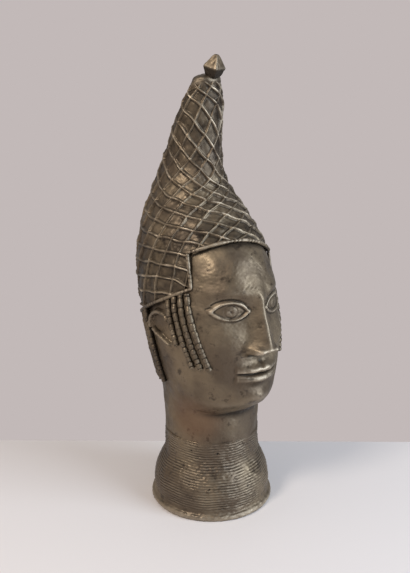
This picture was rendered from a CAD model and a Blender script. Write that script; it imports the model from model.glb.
import math
import bpy
import numpy as np
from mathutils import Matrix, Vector


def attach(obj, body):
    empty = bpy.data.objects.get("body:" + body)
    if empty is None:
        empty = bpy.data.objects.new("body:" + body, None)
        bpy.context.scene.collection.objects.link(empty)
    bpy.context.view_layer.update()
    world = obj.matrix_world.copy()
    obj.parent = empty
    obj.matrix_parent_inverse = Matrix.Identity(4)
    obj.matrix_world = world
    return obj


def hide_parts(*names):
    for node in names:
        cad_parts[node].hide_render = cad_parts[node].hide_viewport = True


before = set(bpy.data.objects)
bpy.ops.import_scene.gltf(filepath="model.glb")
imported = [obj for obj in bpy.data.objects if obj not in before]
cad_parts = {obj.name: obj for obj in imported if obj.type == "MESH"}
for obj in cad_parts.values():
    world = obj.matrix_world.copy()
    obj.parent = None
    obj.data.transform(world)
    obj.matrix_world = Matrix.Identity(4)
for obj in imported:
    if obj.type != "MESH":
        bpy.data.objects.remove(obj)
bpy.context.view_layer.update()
millimetre = 0.001

# The form that every piece shares, in millimetres. Rings tilt from front to back.
# Cap, from the tip down: front Y, front Z, back Y, back Z, half width, then the net's turn and its spread.
capRings = np.array([
    [-3, 476, 23, 473, 15.5, -18, 0.6],
    [-4, 453, 44, 439, 24.5, 2, 0.6],
    [-2, 412.5, 64.5, 405, 28.5, 21, 0.25],
    [-4, 380, 82, 370, 34.5, 32, 0.05],
    [-10, 360.5, 96, 327.5, 48.5, 44, -0.1],
    [-22, 346, 98, 281, 62.5, 54, -0.25],
    [-37, 330, 93, 244, 70.5, 61, -0.35],
    [-53, 312, 84.5, 208.5, 73, 67, -0.5],
    [-66, 283, 75, 178, 68, 72, -0.6],
])
# Neck and head, from the collar up: front Y, front Z, back Y, back Z, half width.
headRings = np.array([
    [-53.4, 80, 53.4, 80, 53.4],
    [-53.4, 104, 53.6, 100, 53.4],
    [-54, 122, 56, 118, 54],
    [-66, 132, 59, 134, 55.5],
    [-76, 142, 63, 152, 58.5],
    [-80, 158, 68, 174, 62.5],
    [-82, 182, 74, 198, 66],
    [-81, 210, 79, 222, 68],
    [-80, 240, 82, 246, 66.5],
    [-78, 268, 81, 266, 60],
    [-66, 296, 77, 284, 55.5],
    [-45, 318, 68, 300, 47],
    [-18, 332, 45, 315, 31],
])


def bell(value, middle, width):
    return np.exp(-(((value - middle) / width) ** 2))


def ease(value, low, high):
    # smoothstep: 0 below low, 1 above high
    t = np.clip((value - low) / (high - low), 0, 1)
    return t * t * (3 - 2 * t)


def unit(vectors):
    return vectors / np.maximum(np.linalg.norm(vectors, axis=-1, keepdims=True), 1e-12)


def alongRings(rings, place):
    # Catmull-Rom blend of a table's rows, place 0 at its first row and 1 at its last
    last = len(rings) - 1
    x = np.clip(place, 0, 1) * last
    k = np.minimum(np.floor(x).astype(int), last - 1)
    f = (x - k)[..., None]
    b, c = rings[k], rings[k + 1]
    a = np.where((k > 0)[..., None], rings[np.maximum(k - 1, 0)], 2 * b - c)
    d = np.where((k < last - 1)[..., None], rings[np.minimum(k + 2, last)], 2 * c - b)
    bend = (2 * a - 5 * b + 4 * c - d) * f ** 2 + (3 * b - 3 * c + d - a) * f ** 3
    return 0.5 * (2 * b + (c - a) * f + bend)


def ringPoint(ring, angle):
    # tilted ellipse: x is half width times sine, y and z run from back to front with (1 + cosine) / 2
    front = (1 + np.cos(angle)) / 2
    x = ring[..., 4] * np.sin(angle)
    y = ring[..., 2] + (ring[..., 0] - ring[..., 2]) * front
    z = ring[..., 3] + (ring[..., 1] - ring[..., 3]) * front
    return np.stack([x, y, z], -1)


def comesDownTo(pointAt, angle, reached):
    # halves the stretch between place 0 and 1 until it closes on where the surface is reached
    low, high = np.zeros_like(angle), np.ones_like(angle)
    for _ in range(30):
        middle = (low + high) / 2
        hit = reached(pointAt(middle, angle))
        high = np.where(hit, middle, high)
        low = np.where(hit, low, middle)
    return pointAt(low, angle)


def swell(points, size, seed, count=26):
    # smooth noise of spread 1: a sum of plane waves about `size` millimetres long, in random directions
    random = np.random.default_rng(seed)
    direction = unit(random.normal(size=(count, 3)))
    number = 2 * np.pi / size * random.uniform(0.6, 1.6, count)
    phase = random.uniform(0, 2 * np.pi, count)
    return np.sin(points @ (direction * number[:, None]).T + phase).sum(-1) / np.sqrt(count / 2)


def gridNormals(points, wrap):
    # cross product of the steps along the columns and along the rows
    if wrap:
        across = np.roll(points, -1, 1) - np.roll(points, 1, 1)
    else:
        across = np.gradient(points, axis=1)
    return unit(np.cross(across, np.gradient(points, axis=0)))


def hollowOf(points, normals, reach, wrap):
    # how far the average of the points `reach` rows and columns away stands in front of each point
    rows = len(points)
    up = points[np.minimum(np.arange(rows) + reach, rows - 1)]
    down = points[np.maximum(np.arange(rows) - reach, 0)]
    if wrap:
        sides = np.roll(points, reach, 1) + np.roll(points, -reach, 1)
    else:
        columns = points.shape[1]
        sides = points[:, np.minimum(np.arange(columns) + reach, columns - 1)]
        sides = sides + points[:, np.maximum(np.arange(columns) - reach, 0)]
    return (((up + down + sides) / 4 - points) * normals).sum(-1)


def gridFaces(rows, columns, wrap):
    # quads facing out where rows run up and columns run counter-clockwise seen from above
    i = np.arange(rows - 1)[:, None]
    j = np.arange(columns if wrap else columns - 1)[None, :]
    a = i * columns + j
    b = i * columns + (j + 1) % columns
    return np.stack([a, b, b + columns, a + columns], -1).reshape(-1, 4)


def fanFaces(row, columns, middle, up):
    # triangles from one wrapped row of a grid to a middle point
    a = row * columns + np.arange(columns)
    b = row * columns + (np.arange(columns) + 1) % columns
    first, second = (a, b) if up else (b, a)
    return np.stack([first, second, np.full(columns, middle)], -1)


def makePiece(name, points, faces, masks, material):
    mesh = bpy.data.meshes.new(name)
    mesh.from_pydata((points * millimetre).tolist(), [], faces)
    for mask, values in masks.items():
        layer = mesh.attributes.new(mask, "FLOAT", "POINT")
        layer.data.foreach_set("value", np.ascontiguousarray(values, np.float32).ravel())
    mesh.polygons.foreach_set("use_smooth", np.ones(len(mesh.polygons), bool))
    mesh.materials.append(material)
    mesh.update()
    piece = bpy.data.objects.new(name, mesh)
    bpy.context.scene.collection.objects.link(piece)
    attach(piece, "root")
    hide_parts("bronze_head")
    print(name, len(mesh.polygons), "faces")
    return piece


def closedPiece(name, points, masks, material):
    # a wrapped grid whose first and last rows are closed to their middles
    rows, columns = points.shape[:2]
    flat = np.concatenate([points.reshape(-1, 3), points[:1].mean(1), points[-1:].mean(1)])
    faces = gridFaces(rows, columns, True).tolist()
    faces += fanFaces(0, columns, rows * columns, False).tolist()
    faces += fanFaces(rows - 1, columns, rows * columns + 1, True).tolist()
    ends = {mask: np.append(v.ravel(), [v[0].mean(), v[-1].mean()]) for mask, v in masks.items()}
    return makePiece(name, flat, faces, ends, material)


def tubePoints(path, outward, radius, sides):
    # circles of the given radius round a path; side 0 looks outward
    along = unit(np.gradient(path, axis=0))
    out = unit(outward - (outward * along).sum(-1, keepdims=True) * along)
    across = np.cross(out, along)
    turn = 2 * np.pi * np.arange(sides) / sides
    ring = out[:, None] * np.cos(turn)[None, :, None] + across[:, None] * np.sin(turn)[None, :, None]
    return path[:, None] + ring * np.broadcast_to(radius, (len(path), sides))[..., None]


# Bronze

bronzeLook = {
    "umber": (0.034, 0.024, 0.017),
    "brown": (0.1, 0.073, 0.05),
    "tan": (0.19, 0.145, 0.095),
    "worn": (0.5, 0.42, 0.32),
    "dirt": (0.016, 0.012, 0.009),
    "rust": (0.15, 0.08, 0.045),
    "rustAt": (-0.045, -0.028, 0.118),
    "rustReach": (0.012, 0.04),
    "metallic": 0.75,
    "smoothest": 0.38,
    "roughest": 0.56,
    "patch": 16,
    "mottle": 95,
    "grain": 620,
}


def addNode(tree, kind, settings=None, **values):
    node = tree.nodes.new(kind)
    for key, value in (settings or {}).items():
        setattr(node, key, value)
    for key, value in values.items():
        name = key.replace("_", " ")
        if isinstance(value, bpy.types.NodeSocket):
            tree.links.new(value, node.inputs[name])
        else:
            node.inputs[name].default_value = value
    return node


def mixColour(tree, share, first, second):
    node = addNode(tree, "ShaderNodeMix", {"data_type": "RGBA"})
    for socket, value in ((node.inputs[0], share), (node.inputs[6], first), (node.inputs[7], second)):
        if isinstance(value, bpy.types.NodeSocket):
            tree.links.new(value, socket)
        else:
            socket.default_value = value if isinstance(value, float) else (*value, 1)
    return node.outputs[2]


def mapRange(tree, value, low, high, toLow, toHigh):
    node = addNode(tree, "ShaderNodeMapRange", {"interpolation_type": "SMOOTHSTEP"})
    tree.links.new(value, node.inputs[0])
    for k, number in enumerate((low, high, toLow, toHigh), 1):
        node.inputs[k].default_value = number
    return node.outputs[0]


def multiply(tree, first, second):
    node = addNode(tree, "ShaderNodeMath", {"operation": "MULTIPLY"})
    for socket, value in zip(node.inputs, (first, second)):
        if isinstance(value, bpy.types.NodeSocket):
            tree.links.new(value, socket)
        else:
            socket.default_value = value
    return node.outputs[0]


def bronze(name, look=bronzeLook):
    # bronze with a patina: broad patches and a mottle, dirt in the hollows, bare metal on the ridges
    material = bpy.data.materials.new(name)
    material.use_nodes = True
    tree = material.node_tree
    shader = tree.nodes["Principled BSDF"]
    place = addNode(tree, "ShaderNodeTexCoord").outputs["Object"]

    def noise(scale, detail, roughness=0.55):
        made = addNode(
            tree, "ShaderNodeTexNoise", Scale=scale, Detail=detail, Roughness=roughness, Vector=place)
        return made.outputs["Fac"]

    patch = noise(look["patch"], 4.0)
    mottle = noise(look["mottle"], 5.0, 0.62)
    grain = noise(look["grain"], 3.0)
    hollow = addNode(tree, "ShaderNodeAttribute", {"attribute_name": "hollow"}).outputs["Fac"]
    ridge = addNode(tree, "ShaderNodeAttribute", {"attribute_name": "ridge"}).outputs["Fac"]

    colour = mixColour(tree, mapRange(tree, patch, 0.38, 0.66, 0, 1), look["brown"], look["tan"])
    colour = mixColour(tree, mapRange(tree, mottle, 0.44, 0.3, 0, 0.75), colour, look["umber"])
    offset = addNode(tree, "ShaderNodeVectorMath", {"operation": "DISTANCE"})
    tree.links.new(place, offset.inputs[0])
    offset.inputs[1].default_value = look["rustAt"]
    near, far = look["rustReach"]
    colour = mixColour(tree, mapRange(tree, offset.outputs["Value"], near, far, 0.6, 0), colour, look["rust"])
    bare = multiply(tree, ridge, mapRange(tree, mottle, 0.36, 0.62, 0.45, 1))
    colour = mixColour(tree, bare, colour, look["worn"])
    colour = mixColour(tree, hollow, colour, look["dirt"])
    tree.links.new(colour, shader.inputs["Base Color"])

    shader.inputs["Metallic"].default_value = look["metallic"]
    rough = mapRange(tree, mottle, 0.36, 0.64, look["smoothest"], look["roughest"])
    tree.links.new(rough, shader.inputs["Roughness"])
    coarse = addNode(tree, "ShaderNodeBump", Strength=0.35, Distance=0.0006, Height=mottle)
    fine = addNode(tree, "ShaderNodeBump", Strength=0.3, Distance=0.00016, Height=grain)
    tree.links.new(coarse.outputs["Normal"], fine.inputs["Normal"])
    tree.links.new(fine.outputs["Normal"], shader.inputs["Normal"])
    return material


bronzeSkin = bronze("bronze")


# Camera, floor, backdrop and lights

view = {
    "azimuth": -38, "distance": 800, "height": 480, "yaw": -0.55, "pitch": -15.83,
    "focal": 748, "imageHeight": 573, "sensor": 36,
}


def aimed(source, target):
    return (Vector(target) - Vector(source)).to_track_quat("-Z", "Y").to_euler()


def makeCamera():
    azimuth = math.radians(view["azimuth"])
    heading = azimuth - math.radians(view["yaw"])
    pitch = math.radians(view["pitch"])
    data = bpy.data.cameras.new("camera")
    data.sensor_width = view["sensor"]
    data.lens = view["sensor"] * view["focal"] / view["imageHeight"]
    data.clip_start = 0.01
    camera = bpy.data.objects.new("camera", data)
    bpy.context.scene.collection.objects.link(camera)
    camera.location = Vector((math.sin(azimuth), -math.cos(azimuth), 0)) * view["distance"] * millimetre
    camera.location.z = view["height"] * millimetre
    level = math.cos(pitch)
    forward = Vector((-math.sin(heading) * level, math.cos(heading) * level, math.sin(pitch)))
    camera.rotation_euler = forward.to_track_quat("-Z", "Y").to_euler()
    bpy.context.scene.camera = camera


# The floor ends this far behind the head, in metres, and the plain backdrop shows beyond it from every side.
room = {
    "floorEnd": 0.122, "width": 6, "depth": 3.2, "floorColour": (0.8, 0.755, 0.75),
    "backdrop": (0.54, 0.485, 0.48), "ambient": (0.86, 0.84, 0.85), "ambientStrength": 0.42,
}


def plainMaterial(name, colour, roughness):
    material = bpy.data.materials.new(name)
    material.use_nodes = True
    shader = material.node_tree.nodes["Principled BSDF"]
    shader.inputs["Base Color"].default_value = (*colour, 1)
    shader.inputs["Roughness"].default_value = roughness
    return material


def stagePlane(name, corners, material):
    mesh = bpy.data.meshes.new(name)
    mesh.from_pydata(corners, [], [(0, 1, 2, 3)])
    mesh.materials.append(material)
    plane = bpy.data.objects.new(name, mesh)
    bpy.context.scene.collection.objects.link(plane)


def makeRoom():
    azimuth = math.radians(view["azimuth"])
    back = Vector((-math.sin(azimuth), math.cos(azimuth), 0))
    side = Vector((math.cos(azimuth), math.sin(azimuth), 0))
    far = back * room["floorEnd"]
    near = far - back * room["depth"]
    wide = side * room["width"] / 2
    floor = plainMaterial("floor", room["floorColour"], 0.55)
    stagePlane("floor", [near - wide, near + wide, far + wide, far - wide], floor)
    world = bpy.data.worlds.new("room")
    world.use_nodes = True
    tree = world.node_tree
    ambient = tree.nodes["Background"]
    ambient.inputs["Color"].default_value = (*room["ambient"], 1)
    ambient.inputs["Strength"].default_value = room["ambientStrength"]
    backdrop = addNode(tree, "ShaderNodeBackground", Color=(*room["backdrop"], 1))
    seen = addNode(tree, "ShaderNodeLightPath").outputs["Is Camera Ray"]
    mixed = tree.nodes.new("ShaderNodeMixShader")
    for socket, value in zip(mixed.inputs, (seen, ambient.outputs[0], backdrop.outputs[0])):
        tree.links.new(value, socket)
    tree.links.new(mixed.outputs[0], tree.nodes["World Output"].inputs["Surface"])
    bpy.context.scene.world = world


# Softboxes: turn from the camera's own side (left is negative), rise in degrees, distance and size in metres.
softboxes = {
    "key": {
        "turn": -40, "rise": 38, "distance": 1.6, "size": (0.4, 0.4), "power": 14,
        "colour": (1, 0.92, 0.82),
    },
    "cool": {
        "turn": 62, "rise": 14, "distance": 1.7, "size": (1.1, 1.5), "power": 36,
        "colour": (0.76, 0.88, 1),
    },
    "warm": {
        "turn": -84, "rise": 10, "distance": 1.8, "size": (1.3, 1.3), "power": 3,
        "colour": (1, 0.82, 0.62),
    },
}


def makeLights():
    target = Vector((0, 0, 0.25))
    for name, box in softboxes.items():
        turn = math.radians(view["azimuth"] + box["turn"])
        rise = math.radians(box["rise"])
        away = Vector((math.sin(turn) * math.cos(rise), -math.cos(turn) * math.cos(rise), math.sin(rise)))
        data = bpy.data.lights.new(name, "AREA")
        data.shape = "RECTANGLE"
        data.size, data.size_y = box["size"]
        data.energy = box["power"]
        data.color = box["colour"]
        light = bpy.data.objects.new(name, data)
        bpy.context.scene.collection.objects.link(light)
        light.location = target + away * box["distance"]
        light.rotation_euler = aimed(light.location, target)


makeCamera()
makeRoom()
makeLights()
bpy.context.scene.view_settings.view_transform = "Standard"
print("camera, room and lights")


# Collar

collar = {
    # radius and height: rolled foot, swell, hollow, upright band
    "profile": np.array([
        [69, 0], [70.8, 2.5], [70.2, 6], [67.6, 8.5], [66.8, 14], [67.2, 24],
        [65.6, 36], [61.5, 47], [56.5, 56], [54.3, 63], [54, 74], [54, 88],
    ]),
    "rows": 270, "columns": 320,
    "ringSpacing": 3.05, "ringDepth": 0.55, "ringsFrom": 10.5, "ringsTo": 90,
    "wobble": 0.5, "roughness": 0.16,
    "pits": 46, "pitRadius": (0.7, 1.7), "pitDepth": 0.9,
    "pitTurn": (-25, 75), "pitHeight": (16, 92),
}


def smoothProfile(profile, count):
    # Catmull-Rom through the profile's points, evenly spaced along its length
    place = np.linspace(0, 1, 1200)
    fine = alongRings(profile.astype(float), place)
    length = np.append(0, np.cumsum(np.linalg.norm(np.diff(fine, axis=0), axis=1)))
    even = np.linspace(0, length[-1], count)
    return np.stack([np.interp(even, length, fine[:, 0]), np.interp(even, length, fine[:, 1])], -1), even


def pitsAt(points, normals, centres, radii, depth):
    # small craters: a bell under each centre with a faint raised lip
    sunk = np.zeros(points.shape[:-1])
    for centre, radius in zip(centres, radii):
        away = np.linalg.norm(points - centre, axis=-1) / radius
        sunk += depth * (bell(away, 0, 0.8) - 0.18 * bell(away, 1.5, 0.35)) * radius
    return points - normals * sunk[..., None], sunk


def makeCollar():
    profile, length = smoothProfile(collar["profile"], collar["rows"])
    turn = 2 * np.pi * np.arange(collar["columns"]) / collar["columns"]
    radius = profile[:, :1] + 0 * turn
    points = np.stack([radius * np.sin(turn), -radius * np.cos(turn), profile[:, 1:] + 0 * turn], -1)
    normals = gridNormals(points, True)
    height = points[..., 2]
    wobble = collar["wobble"] * swell(points * [1, 1, 0.35], 46, 3)
    wave = np.cos(2 * np.pi * (length[:, None] + wobble) / collar["ringSpacing"])
    first, last = collar["ringsFrom"], collar["ringsTo"]
    strength = ease(height, first, first + 4) * ease(height, last, last - 4)
    strength = strength * np.clip(0.75 + 0.3 * swell(points, 21, 5), 0.15, 1.1)
    groove = strength * (0.5 + 0.5 * wave) ** 2.2
    cast = collar["roughness"] * swell(points, 5.5, 8) + 0.35 * swell(points, 30, 9) * ease(height, 6, 20)
    points = points + normals * (cast - collar["ringDepth"] * groove)[..., None]
    random = np.random.default_rng(12)
    pitTurn = np.radians(random.uniform(*collar["pitTurn"], collar["pits"]) + view["azimuth"])
    pitHeight = random.uniform(*collar["pitHeight"], collar["pits"])
    pitOut = np.interp(pitHeight, collar["profile"][:, 1], collar["profile"][:, 0])
    centres = np.stack([pitOut * np.sin(pitTurn), -pitOut * np.cos(pitTurn), pitHeight], -1)
    radii = random.uniform(*collar["pitRadius"], collar["pits"]) * random.uniform(0.5, 1, collar["pits"])
    points, sunk = pitsAt(points, normals, centres, radii, collar["pitDepth"])
    points[0, :, 2] = 0
    points[..., 2] = np.maximum(points[..., 2], 0)
    hollow = np.clip(0.62 * groove + 1.1 * sunk, 0, 1)
    ridge = np.clip(0.2 * strength * (0.5 - 0.5 * wave) + 0.55 * bell(height, 3.5, 3.2), 0, 1)
    closedPiece("collar", points, {"hollow": hollow, "ridge": ridge}, bronzeSkin)


makeCollar()


# Neck and head

face = {
    "chin": 136, "mouth": 178.5, "nose": 200, "eye": 246, "brow": 264,
    "eyeSpacing": 58, "eyeWidth": 31, "noseWidth": 34, "mouthWidth": 50,
    "noseDepth": 21, "lipDepth": 8, "socketDepth": 9, "lidDepth": 2.4,
}
head = {
    "rows": 292, "columns": 320, "gather": 0.55, "cast": 0.06, "dents": 0.25,
}


def faceRelief(x, z):
    # how far the face stands out at x and z: sums of bells and eased steps
    side = np.abs(x)
    eyeX = side - face["eyeSpacing"] / 2
    eyeZ = z - face["eye"]
    brow = 3.5 * bell(z, face["brow"] + 2 - 0.004 * eyeX ** 2, 7) * bell(side, 24, 26)
    socket = -face["socketDepth"] * bell(eyeX, -2, 19) * bell(eyeZ, 0, 14)
    across = eyeX / (face["eyeWidth"] / 2)
    open_ = np.clip(1 - across ** 2, 0, 1)
    upper = 8.8 * open_ ** 0.8
    lower = -7.2 * open_ ** 0.9
    # signed distance to the almond's edge, in millimetres, less steep near its corners
    steep = 1 / np.sqrt(1 + (1.1 * across) ** 2)
    toUpper = (upper - eyeZ) * steep
    toLower = (eyeZ - lower) * steep
    inside = np.minimum(toUpper, toLower)
    beyond = np.maximum(np.abs(across) - 1, 0) * face["eyeWidth"] / 2
    inside = np.where(beyond > 0, -np.hypot(beyond, eyeZ), inside)
    ball = 7.2 * bell(eyeX, 0, 13.5) * bell(eyeZ, 0, 9.5)
    lid = face["lidDepth"] * bell(inside, -1.2, 1.35)
    fold = -1.1 * bell(inside, -4.1, 1.1) * ease(eyeZ, -2, 4)
    iris = np.hypot(eyeX, eyeZ - 0.4)
    drawn = -0.5 * bell(iris, 6.2, 0.55) - 1.2 * bell(iris, 0, 1.5)
    cheek = 4 * bell(side, 38, 20) * bell(z, face["nose"] + 12, 20)
    bridge = np.clip((face["brow"] - z) / (face["brow"] - face["nose"] - 6), 0, 1)
    noseEnd = ease(z, face["nose"] - 3.5, face["nose"] + 8)
    noseTop = bell(np.maximum(z - face["brow"] + 9, 0), 0, 14)
    nose = face["noseDepth"] * (0.25 + 0.75 * bridge ** 1.2) * noseEnd * noseTop
    nose = nose * bell(x, 0, 6.5 + 5 * bridge)
    wingX = face["noseWidth"] / 2 - 5.5
    wingEnd = ease(z, face["nose"] - 3, face["nose"] + 3)
    wing = 0.5 * face["noseDepth"] * bell(side, wingX, 5.5) * bell(z, face["nose"] + 5, 6) * wingEnd
    nostril = -3 * bell(side, wingX - 1, 3) * bell(z, face["nose"] - 0.5, 2)
    lipWidth = np.clip(1 - (side / (face["mouthWidth"] / 2 + 3)) ** 2, 0, 1) ** 0.6
    bow = 1.6 * bell(side, 5, 4) - 0.8 * bell(x, 0, 2.5)
    upperLip = 0.94 * face["lipDepth"] * bell(z, face["mouth"] + 5 + 0.4 * bow, 5) * lipWidth
    lowerLip = face["lipDepth"] * bell(z, face["mouth"] - 5.5, 5.5) * lipWidth
    line = -0.5 * face["lipDepth"] * bell(z, face["mouth"] + 0.02 * side, 1.4) * lipWidth
    philtrum = -0.9 * bell(x, 0, 2.6) * bell(z, face["nose"] - 8, 6)
    chin = 7 * bell(x, 0, 19) * bell(z, face["chin"] + 15, 11)
    relief = brow + socket + ball + lid + fold + drawn + cheek + nose + wing + nostril
    relief = relief + upperLip + lowerLip + line + philtrum + chin
    return relief


def headSurface(place, angle):
    return ringPoint(alongRings(headRings, place), angle)


def onHead(angle, height, out):
    # the head's plain surface at an angle and a height, pushed out by a distance
    def fromTop(place, turn):
        return headSurface(1 - place, turn)
    point = comesDownTo(fromTop, angle, lambda p: p[..., 2] < height)
    away = np.stack([np.sin(angle), -np.cos(angle), 0 * angle], -1)
    return point + away * np.asarray(out)[..., None]


# The cap's edge: an arch over the forehead, an edge down each temple, and a plane that slopes to the nape.
edge = {
    "archTop": 315, "archDrop": 18.3, "archMiddle": -9, "templeX": 57,
    "templeFootY": -35.7, "templeFootZ": 268, "templeLean": 0.2535, "napeSlope": -0.505,
}


def archHeight(x):
    return edge["archTop"] - edge["archDrop"] * ((x - edge["archMiddle"]) / edge["templeX"]) ** 2


def napeHeight(y):
    return edge["templeFootZ"] + edge["napeSlope"] * (y - edge["templeFootY"])


def templeY(z):
    return edge["templeFootY"] + edge["templeLean"] * (z - edge["templeFootZ"])


def makeHead():
    # rows are evenly spaced down the front, closer on the face
    fine = np.linspace(0, 1, 2000)
    front = headSurface(fine, 0 * fine)
    weight = 0.75 + 0.75 * ease(front[:, 2], 140, 165) * ease(front[:, 2], 300, 272)
    step = np.append(0, np.linalg.norm(np.diff(front, axis=0), axis=1)) * weight
    length = np.cumsum(step)
    place = np.interp(np.linspace(0, length[-1], head["rows"]), length, fine)
    even = 2 * np.pi * np.arange(head["columns"]) / head["columns"]
    angle = even - head["gather"] * np.sin(even)
    place, angle = np.meshgrid(place, angle, indexing="ij")
    points = headSurface(place, angle)
    forward = ease(np.cos(angle), 0.05, 0.6)
    points[..., 1] -= faceRelief(points[..., 0], points[..., 2]) * forward
    normals = gridNormals(points, True)
    cast = head["cast"] * swell(points, 4.5, 31) + head["dents"] * swell(points, 24, 32)
    tight = hollowOf(points, normals, 3, True)
    broad = hollowOf(points, normals, 9, True)
    points = points + normals * cast[..., None]
    x, z = points[..., 0], points[..., 2]
    underRim = ease(z, archHeight(x) - 9, archHeight(x) - 2.5)
    hollow = np.clip(1.1 * ease(tight, 0.12, 0.75) + 0.35 * ease(broad, 0.5, 2.2), 0, 0.9)
    hollow = np.maximum(hollow, 0.85 * underRim)
    ridge = np.clip(0.8 * ease(-tight, 0.1, 0.6), 0, 0.8)
    closedPiece("head", points, {"hollow": hollow, "ridge": ridge}, bronzeSkin)


makeHead()


# Netted cap

net = {
    "lines": 12, "rows": 22, "rowsPerRing": 2.75, "sideLift": 4, "spreadFrom": -50,
    "steps": 16, "relief": 2.2, "cordHalf": 1.55, "crossHalf": 1.2, "groove": 0.5,
    "jitter": 0.05, "cast": 0.16, "wall": 9, "middleY": 10,
}


def capPoint(place, angle):
    point = ringPoint(alongRings(capRings, place), angle)
    point[..., 2] += net["sideLift"] * np.sin(np.pi * np.clip(place, 0, 1)) * np.sin(angle) ** 2
    return point


def netPoint(row, column):
    # a point of the net at its own row, from the tip down, and column round the cap
    place = row / ((len(capRings) - 1) * net["rowsPerRing"])
    ring = alongRings(capRings, place)
    even = 2 * np.pi * column / net["lines"] + np.radians(ring[..., 5])
    return capPoint(place, even + ring[..., 6] * np.sin(even - math.radians(net["spreadFrom"])))


def edgeRoom(points):
    # distance inside the cap's edge, and the step that moves a point straight onto it
    x, y, z = points[..., 0], points[..., 1], points[..., 2]
    nape = z - napeHeight(y)
    temple = y - templeY(z)
    arch = z - archHeight(x)
    slope, lean = edge["napeSlope"], edge["templeLean"]
    napeStep = np.stack([0 * x, 0 * x - slope, 1 + 0 * x], -1) / (1 + slope ** 2)
    templeStep = np.stack([0 * x, 1 + 0 * x, 0 * x - lean], -1) / (1 + lean ** 2)
    archStep = np.stack([0 * x, 0 * x, 1 + 0 * x], -1)
    byTemple = temple > arch
    open_ = np.where(byTemple, temple, arch)
    openStep = np.where(byTemple[..., None], templeStep, archStep)
    byNape = nape < open_
    inside = np.where(byNape, nape, open_)
    step = np.where(byNape[..., None], napeStep, openStep)
    return inside, step * -inside[..., None]


def netGrid():
    # one patch of steps by steps quads for each mesh of the net, with its corners on the knots
    # shared points are joined by their key, and the topmost patches are cut off at row 0
    steps, lines = net["steps"], net["lines"]
    spaced = (1 - np.cos(np.pi * np.arange(steps + 1) / steps)) / 2
    row, column = np.meshgrid(np.arange(-1, net["rows"] - 1), np.arange(lines), indexing="ij")
    middle = (column + (row % 2) / 2).reshape(-1, 1, 1)
    rows = np.maximum(row.reshape(-1, 1, 1) + spaced[None, :, None] + spaced[None, None, :], 0)
    columns = (middle + (spaced[None, None, :] - spaced[None, :, None]) / 2) % lines
    fine = 100000
    rowKey = np.round(rows * fine).astype(np.int64)
    columnKey = np.round(columns * fine).astype(np.int64) % (lines * fine)
    key = rowKey * 10 ** 8 + columnKey
    _, first, index = np.unique(key.ravel(), return_index=True, return_inverse=True)
    index = index.reshape(rows.shape)
    corners = [index[:, :-1, :-1], index[:, 1:, :-1], index[:, 1:, 1:], index[:, :-1, 1:]]
    faces = np.stack(corners, -1).reshape(-1, 4)
    rows, columns = rows.ravel()[first], columns.ravel()[first]
    return rows, columns, faces[rows[faces].max(1) > 1e-6]


def netSurface(row, column, small=0.02):
    # the cap's surface there, its normal, and its steps down the rows and round the columns
    points = netPoint(row, column)
    down = (netPoint(row + small, column) - netPoint(row - small, column)) / (2 * small)
    across = (netPoint(row, column + small) - netPoint(row, column - small)) / (2 * small)
    return points, unit(np.cross(down, across)), down, across


def lineDistance(number, along, area):
    # signed millimetres from the nearest whole-numbered line
    return (number - np.round(number)) * area / np.maximum(np.linalg.norm(along, axis=-1), 1)


def trimmed(points, faces, edgeStep, inside):
    # drops what lies outside the edge and moves the corners that stick out onto it
    kept = faces[(inside[faces] > 0).any(1)]
    used = np.unique(kept)
    number = np.full(len(points), -1)
    number[used] = np.arange(len(used))
    moved = points + np.where(inside[:, None] < 0, edgeStep, 0)
    return moved[used], number[kept], used


def turnedIn(points, faces, depth):
    # a wall from the open lower edge towards the head's middle line
    sides = np.concatenate([faces[:, [0, 1]], faces[:, [1, 2]], faces[:, [2, 3]], faces[:, [3, 0]]])
    ordered = np.sort(sides, 1)
    _, first, count = np.unique(ordered, axis=0, return_index=True, return_counts=True)
    rim = sides[first[count == 1]]
    rim = rim[points[rim[:, 0], 2] < 400]
    corners = np.unique(rim)
    number = np.full(len(points), -1)
    number[corners] = len(points) + np.arange(len(corners))
    inward = np.stack([-points[corners, 0], net["middleY"] - points[corners, 1], 0 * corners], -1)
    walls = points[corners] + depth * unit(inward)
    wallFaces = np.stack([rim[:, 1], rim[:, 0], number[rim[:, 0]], number[rim[:, 1]]], -1)
    return np.concatenate([points, walls]), np.concatenate([faces, wallFaces]), corners


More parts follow.
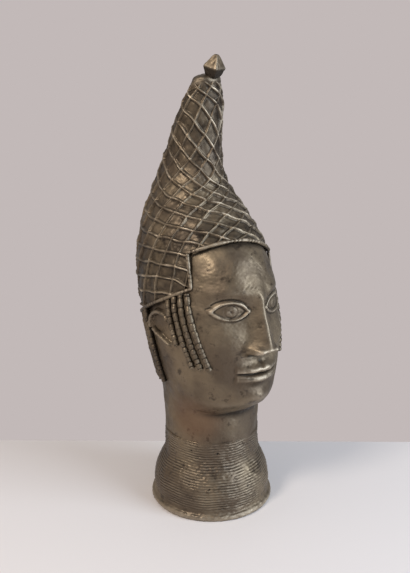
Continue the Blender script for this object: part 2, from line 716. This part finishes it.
def makeCap():
    row, column, faces = netGrid()
    plain = netPoint(row, column)
    wander = net["jitter"] * ease(row, 0, 2)
    points, normals, down, across = netSurface(
        row + wander * swell(plain, 34, 41), column + 0.5 * wander * swell(plain, 30, 42))
    # cords of constant p run down to the face's side, cords of constant q the other way
    p, q = row / 2 - column, row / 2 + column
    alongP, alongQ = down + 0.5 * across, down - 0.5 * across
    area = np.linalg.norm(np.cross(alongP, alongQ), axis=-1)
    fromP = lineDistance(p, alongP, area)
    fromQ = lineDistance(q, alongQ, area)
    thick = 1 + 0.13 * swell(plain, 15, 43)
    riseP = 1 - ease(np.abs(fromP), 0.3 * net["cordHalf"] * thick, 1.25 * net["cordHalf"] * thick)
    riseQ = 1 - ease(np.abs(fromQ), 0.3 * net["crossHalf"] * thick, 1.25 * net["crossHalf"] * thick)
    worn = np.clip(1 + 0.16 * swell(plain, 22, 44), 0.6, 1.25)
    rise = np.maximum(riseP * worn, 0.85 * riseQ * worn)
    under = bell(fromP, 1.45 * net["cordHalf"], 0.75) * (1 - riseQ)
    besideP = bell(-fromP, 1.4 * net["cordHalf"], 0.6)
    besideQ = bell(np.abs(fromQ), 1.5 * net["crossHalf"], 0.6)
    beside = np.maximum(besideQ, 0.7 * besideP) * (1 - np.maximum(riseP, riseQ))
    cast = net["cast"] * swell(plain, 4.2, 45) + 0.3 * swell(plain, 19, 46) * (1 - rise)
    lift = net["relief"] * (rise - 1) - net["groove"] * under - 0.5 * net["groove"] * beside + cast
    points = points + normals * lift[:, None]
    floor = 0.08 + 0.4 * ease(row, 9, 5) + 0.4 * ease(row, 14.5, 17)
    floor = (floor + 0.1 * swell(plain, 9, 47)) * (1 - rise)
    hollow = np.clip(floor + 0.75 * under + 0.3 * beside, 0, 0.95)
    onCords = riseP + 0.6 * riseQ * (1 - riseP)
    ridge = np.clip(rise ** 3 * (0.42 + 0.2 * swell(plain, 12, 48)) * onCords, 0, 1)
    inside, edgeStep = edgeRoom(points)
    points, faces, used = trimmed(points, faces, edgeStep, inside)
    points, faces, corners = turnedIn(points, faces, net["wall"])
    hollow = np.append(hollow[used], 0.9 + 0 * corners)
    ridge = np.append(ridge[used], 0 * corners)
    makePiece("netted_cap", points, faces.tolist(), {"hollow": hollow, "ridge": ridge}, bronzeSkin)


makeCap()


# Dome over the cap's tip, between the first knots and the finial

dome = {"rows": 44, "columns": 120, "fromRow": 0.95, "fromDepth": 2.7, "top": (0, 8, 481), "closing": 18}


def makeDome():
    skirt = dome["rows"] - dome["closing"]
    column = net["lines"] * np.arange(dome["columns"]) / dome["columns"]
    down = np.linspace(1, 0.02, skirt)[:, None]
    points, normals, _, _ = netSurface(dome["fromRow"] * down + 0 * column, column + 0 * down)
    sink = dome["fromDepth"] * ease(down, 0.2, 1) - 0.25
    points = points - normals * sink[..., None]
    ring, top = points[-1], np.array(dome["top"], float)
    close = np.linspace(0, 1, dome["closing"] + 1)[1:-1, None, None]
    flat = ring + (top - ring) * (1 - np.cos(close * np.pi / 2))
    flat[..., 2] = ring[:, 2] + (top[2] - ring[:, 2]) * np.sin(close[..., 0] * np.pi / 2)
    points = np.concatenate([points, flat])
    points = points + gridNormals(points, True) * (0.14 * swell(points, 5, 51))[..., None]
    hollow = np.clip(0.25 + 0.15 * swell(points, 10, 52), 0, 0.7)
    ridge = np.clip(0.2 + 0.15 * swell(points, 8, 53), 0, 0.6)
    closedPiece("dome", points, {"hollow": hollow, "ridge": ridge}, bronzeSkin)


makeDome()


# Finial

finial = {
    "foot": (0, 0, 476.5), "tip": (0, -7, 500), "turn": -28, "rows": 60, "columns": 96, "soft": 0.08,
    # radius at the corners and height up the leaning axis, from the stem to the blunt tip
    "profile": np.array([
        [3.4, -5], [3.4, -2], [3.8, 0.4], [6.6, 1.6], [8.8, 4], [10.4, 8],
        [11.7, 11.2], [10.6, 13.2], [7.8, 17.2], [4.6, 21.6], [2.4, 24],
    ]),
}


def makeFinial():
    # a square cross-section with softened corners, 1 / (|cos| + |sin|) of the radius, along the profile
    foot, tip = np.array(finial["foot"], float), np.array(finial["tip"], float)
    outline, _ = smoothProfile(finial["profile"], finial["rows"])
    turn = 2 * np.pi * np.arange(finial["columns"]) / finial["columns"]
    soft = finial["soft"]
    square = 1 / (np.sqrt(np.cos(turn) ** 2 + soft ** 2) + np.sqrt(np.sin(turn) ** 2 + soft ** 2) - soft)
    share = ease(outline[:, 1], 0.5, 3.5)[:, None]
    radius = outline[:, :1] * (share * square + (1 - share))
    lean = math.atan2(foot[1] - tip[1], tip[2] - foot[2])
    about = turn + math.radians(finial["turn"])
    x, y, z = radius * np.sin(about), -radius * np.cos(about), outline[:, 1:] + 0 * turn
    leaning = [x, y * math.cos(lean) - z * math.sin(lean), y * math.sin(lean) + z * math.cos(lean)]
    points = np.stack(leaning, -1) + foot
    points = points + 0.08 * swell(points, 5, 61)[..., None] * gridNormals(points, True)
    points[..., 2] = np.minimum(points[..., 2], tip[2])
    hollow = np.clip(0.8 * ease(z, 13, 9) + 0 * turn, 0, 1)
    ridge = np.clip(0.3 * bell(square, 1, 0.1) * ease(z, 10, 13) + 0.25 * bell(z, 12, 1), 0, 1)
    closedPiece("finial", points, {"hollow": hollow, "ridge": ridge}, bronzeSkin)


makeFinial()


# Cords along the cap's edge

rim = {"radius": 2.0, "sides": 18, "steps": 260, "napeSteps": 420, "twist": 4.6, "twistDepth": 0.35}


def evenPath(path, count):
    # the same path with its points evenly spaced along it
    length = np.append(0, np.cumsum(np.linalg.norm(np.diff(path, axis=0), axis=1)))
    even = np.linspace(0, length[-1], count)
    return np.stack([np.interp(even, length, path[:, k]) for k in range(3)], -1)


def cordPiece(name, path, seed):
    # a round cord with a slow wander of its thickness and shallow slanting grooves
    middle = np.array([0, net["middleY"], 0])
    outward = (path - middle) * [1, 1, 0.25]
    length = np.append(0, np.cumsum(np.linalg.norm(np.diff(path, axis=0), axis=1)))
    side = 2 * np.pi * np.arange(rim["sides"]) / rim["sides"]
    slant = np.cos(2 * np.pi * length[:, None] / rim["twist"] - 1.2 * side)
    thick = rim["radius"] * (1 + 0.09 * swell(path, 13, seed))[:, None] + 0 * side
    depth = rim["twistDepth"] * np.clip(0.8 + 0.5 * swell(path, 20, seed + 1), 0, 1.2)[:, None]
    groove = depth * (0.5 + 0.5 * slant) ** 2
    ends = np.minimum(length, length[-1] - length)[:, None]
    thick = thick * np.sqrt(np.clip(ends / rim["radius"], 0.02, 1))
    points = tubePoints(path, outward, thick - groove, rim["sides"])
    out = np.cos(side)[None, :] + 0 * groove
    hollow = np.clip(1.3 * groove + 0.8 * ease(out, 0.1, -0.7), 0, 0.95)
    bare = (0.5 - 1.2 * groove) * (1 + 0.3 * swell(path, 16, seed + 2))[:, None]
    ridge = np.clip(ease(out, 0.3, 1) * bare, 0, 1)
    closedPiece(name, points, {"hollow": hollow, "ridge": ridge}, bronzeSkin)


def underArch(points):
    return points[..., 2] < archHeight(points[..., 0])


def underNape(points):
    return points[..., 2] < napeHeight(points[..., 1])


def cornerAngle(side, reached):
    # halves a range of turns until an edge's point lies in the temple's plane
    low, high = 0.3, 1.6
    for _ in range(30):
        middle = (low + high) / 2
        point = comesDownTo(capPoint, np.array([side * middle]), reached)[0]
        behind = point[1] > templeY(point[2])
        low, high = (low, middle) if behind else (middle, high)
    return side * low


def makeRims():
    archAngles = np.linspace(cornerAngle(-1, underArch), cornerAngle(1, underArch), 160)
    napeFrom = cornerAngle(1, underNape)
    napeAngles = np.linspace(napeFrom, 2 * np.pi - napeFrom, 240)
    arch = comesDownTo(capPoint, archAngles, underArch)
    nape = comesDownTo(capPoint, napeAngles, underNape)
    cordPiece("forehead_cord", evenPath(arch, rim["steps"]), 71)
    around = np.concatenate([arch[-1:], nape, arch[:1]])
    cordPiece("nape_cord", evenPath(around, rim["napeSteps"]), 75)


makeRims()


# Strands of beads before and behind the ears

strand = {
    "front": {
        "count": 4, "topAngle": 66.5, "topStep": 6.2, "footAngle": 46.3, "footStep": 7.4,
        "top": 262, "foot": 183, "topOut": 1.2, "footOut": 1.2, "sides": 20, "steps": 150,
    },
    "back": {
        "count": 12, "topAngle": 177.2, "topStep": -5.6, "footAngle": 176.6, "footStep": -6.8,
        "top": 262, "foot": 152, "topOut": 5.2, "footOut": 1.4, "sides": 14, "steps": 120,
    },
    "shortFoot": 205, "radius": 3.3, "overEdge": 1,
    "beadTop": 9.6, "beadFoot": 5.4, "jointDepth": 0.55, "jointHalf": 0.55,
}


def strandPath(group, index, foot):
    # turn, height and distance from the head run evenly down, and the cap's cord covers the strand's top
    down = np.linspace(0, (group["top"] - foot) / (group["top"] - group["foot"]), group["steps"])
    top = group["topAngle"] + index * group["topStep"]
    low = group["footAngle"] + index * group["footStep"]
    angle = np.radians(top + (low - top) * down)
    out = group["topOut"] + (group["footOut"] - group["topOut"]) * down
    path = onHead(angle, group["top"] + (group["foot"] - group["top"]) * down, out)
    free = path[:, 2] < napeHeight(path[:, 1]) + strand["overEdge"]
    return evenPath(path[free], group["steps"])


def strandPiece(name, path, sides, side, seed):
    # a rod with a joint between each two beads, the beads shorter further down, closed round at its foot
    path = path * [side, 1, 1]
    length = np.append(0, np.cumsum(np.linalg.norm(np.diff(path, axis=0), axis=1)))
    share = length / length[-1]
    bead = strand["beadTop"] + (strand["beadFoot"] - strand["beadTop"]) * ease(share, 0.15, 0.8)
    count = np.append(0, np.cumsum(np.diff(length) / bead[1:])) + 0.37 * (seed % 3)
    away = np.abs(count - np.round(count)) * bead
    joint = bell(away, 0, strand["jointHalf"]) * np.clip(1 + 0.35 * swell(path, 12, seed), 0.4, 1.3)
    belly = 0.12 * np.cos(2 * np.pi * count)
    radius = strand["radius"] * (1 + 0.05 * swell(path, 9, seed + 1)) - strand["jointDepth"] * joint - belly
    radius = radius * np.sqrt(np.clip((length[-1] - length) / 1.1, 0.03, 1))
    outward = path * [1, 1, 0] - [0, net["middleY"], 0]
    points = tubePoints(path, outward, radius[:, None], sides)
    turn = 2 * np.pi * np.arange(sides) / sides
    out = np.cos(turn)[None, :] + 0 * radius[:, None]
    points = points + 0.1 * swell(points, 3.2, seed + 2)[..., None] * unit(points - path[:, None])
    hollow = np.clip(0.8 * joint[:, None] + 0.2 + 0.75 * ease(out, 0.7, 0.05), 0, 0.95)
    bare = 0.08 * (1 + swell(points, 8, seed + 3)) * (1 - joint[:, None])
    ridge = np.clip(ease(out, 0.45, 1) * bare, 0, 1)
    closedPiece(name, points, {"hollow": hollow, "ridge": ridge}, bronzeSkin)


def makeStrands():
    for side, word in ((1, "left"), (-1, "right")):
        front, back = strand["front"], strand["back"]
        for index in range(front["count"]):
            foot = front["foot"] if index < front["count"] - 1 else strand["shortFoot"]
            path = strandPath(front, index, foot)
            strandPiece(f"{word}_front_strand_{index + 1}", path, front["sides"], side, 80 + 5 * index)
        for index in range(back["count"]):
            path = strandPath(back, index, back["foot"])
            strandPiece(f"{word}_back_strand_{index + 1}", path, back["sides"], side, 120 + 5 * index)


makeStrands()


# Ears

ear = {
    "rim": np.array([[24, 215], [22, 224], [15, 231.5], [6, 236], [-4, 235.5], [-9, 231]]),
    "ridge": np.array([[13, 215], [-2, 210], [-14, 205]]),
    "rimHalf": 3.0, "rimRise": 5.2, "ridgeHalf": 2.6, "ridgeRise": 4.8, "bowl": 1.2,
    "middle": (5, 216), "reach": (25, 27), "rows": 110, "columns": 90,
    "hollowAt": (5, 222), "hollowReach": (11, 10), "hollowDepth": 2.2,
    "pitAt": (-14.6, 199.7), "pitReach": 1.6,
}


def curveDistance(points, curve):
    # millimetres from each point to the curve, as 160 points of it, and how far along it the nearest is
    dense = alongRings(curve.astype(float), np.linspace(0, 1, 160))
    away = np.linalg.norm(points[:, None, :] - dense[None], axis=-1)
    return away.min(1), away.argmin(1) / 159


def besideHead(y, z):
    # the head's plain surface at Y and Z on the +X side: the angle is corrected until y is right
    angle = np.full(y.shape, np.pi / 2)
    for _ in range(8):
        point = onHead(angle, z, 0 * z)
        angle = angle + (y - point[..., 1]) / 75
    return onHead(angle, z, 0 * z)


def makeEars():
    # a patch over the side of the head, raised by eased steps round the rim's and the ridge's curves
    u = np.linspace(-1, 1, ear["columns"])
    v = np.linspace(-1, 1, ear["rows"])
    v, u = np.meshgrid(v, u, indexing="ij")
    y = ear["middle"][0] + ear["reach"][0] * u
    z = ear["middle"][1] + ear["reach"][1] * v
    base = besideHead(y, z)
    flat = np.stack([y, z], -1).reshape(-1, 2)
    fromRim, alongRim = (k.reshape(y.shape) for k in curveDistance(flat, ear["rim"]))
    fromRidge = curveDistance(flat, ear["ridge"])[0].reshape(y.shape)
    taper = 1 - 0.35 * ease(alongRim, 0.55, 1)
    rimRise = ear["rimRise"] * taper * (1 - ease(fromRim, 0.25 * ear["rimHalf"], 1.35 * ear["rimHalf"]))
    ridgeRise = ear["ridgeRise"] * (1 - ease(fromRidge, 0.25 * ear["ridgeHalf"], 1.35 * ear["ridgeHalf"]))
    shell = bell(np.hypot((y - 5) / 16, (z - 216) / 18), 0, 0.9)
    (cupY, cupZ), (reachY, reachZ) = ear["hollowAt"], ear["hollowReach"]
    cup = 1 - ease(np.hypot((y - cupY) / reachY, (z - cupZ) / reachZ), 0.55, 1.1)
    pit = bell(np.hypot(y - ear["pitAt"][0], z - ear["pitAt"][1]), 0, ear["pitReach"])
    raised = np.maximum(rimRise, ridgeRise)
    low = 1 - ease(raised, 0.6, 3.2)
    rise = raised + ear["bowl"] * shell - low * ear["hollowDepth"] * cup - 1.6 * pit
    margin = np.maximum(np.abs(u), np.abs(v))
    rise = rise - 3.5 * ease(margin, 0.86, 1) - 0.4
    base[..., 0] += rise
    normals = gridNormals(base, False)
    base = base + normals * (0.12 * swell(base, 4, 91))[..., None]
    hollow = np.clip(low * (0.95 * cup + 0.4 * shell) + pit, 0, 0.95)
    ridge = np.clip(0.3 * ease(raised, 2.6, 4.8), 0, 1)
    masks = {"hollow": hollow.ravel(), "ridge": ridge.ravel()}
    faces = gridFaces(ear["rows"], ear["columns"], False)
    makePiece("left_ear", base.reshape(-1, 3), faces.tolist(), masks, bronzeSkin)
    makePiece("right_ear", base.reshape(-1, 3) * [-1, 1, 1], faces[:, ::-1].tolist(), masks, bronzeSkin)


makeEars()
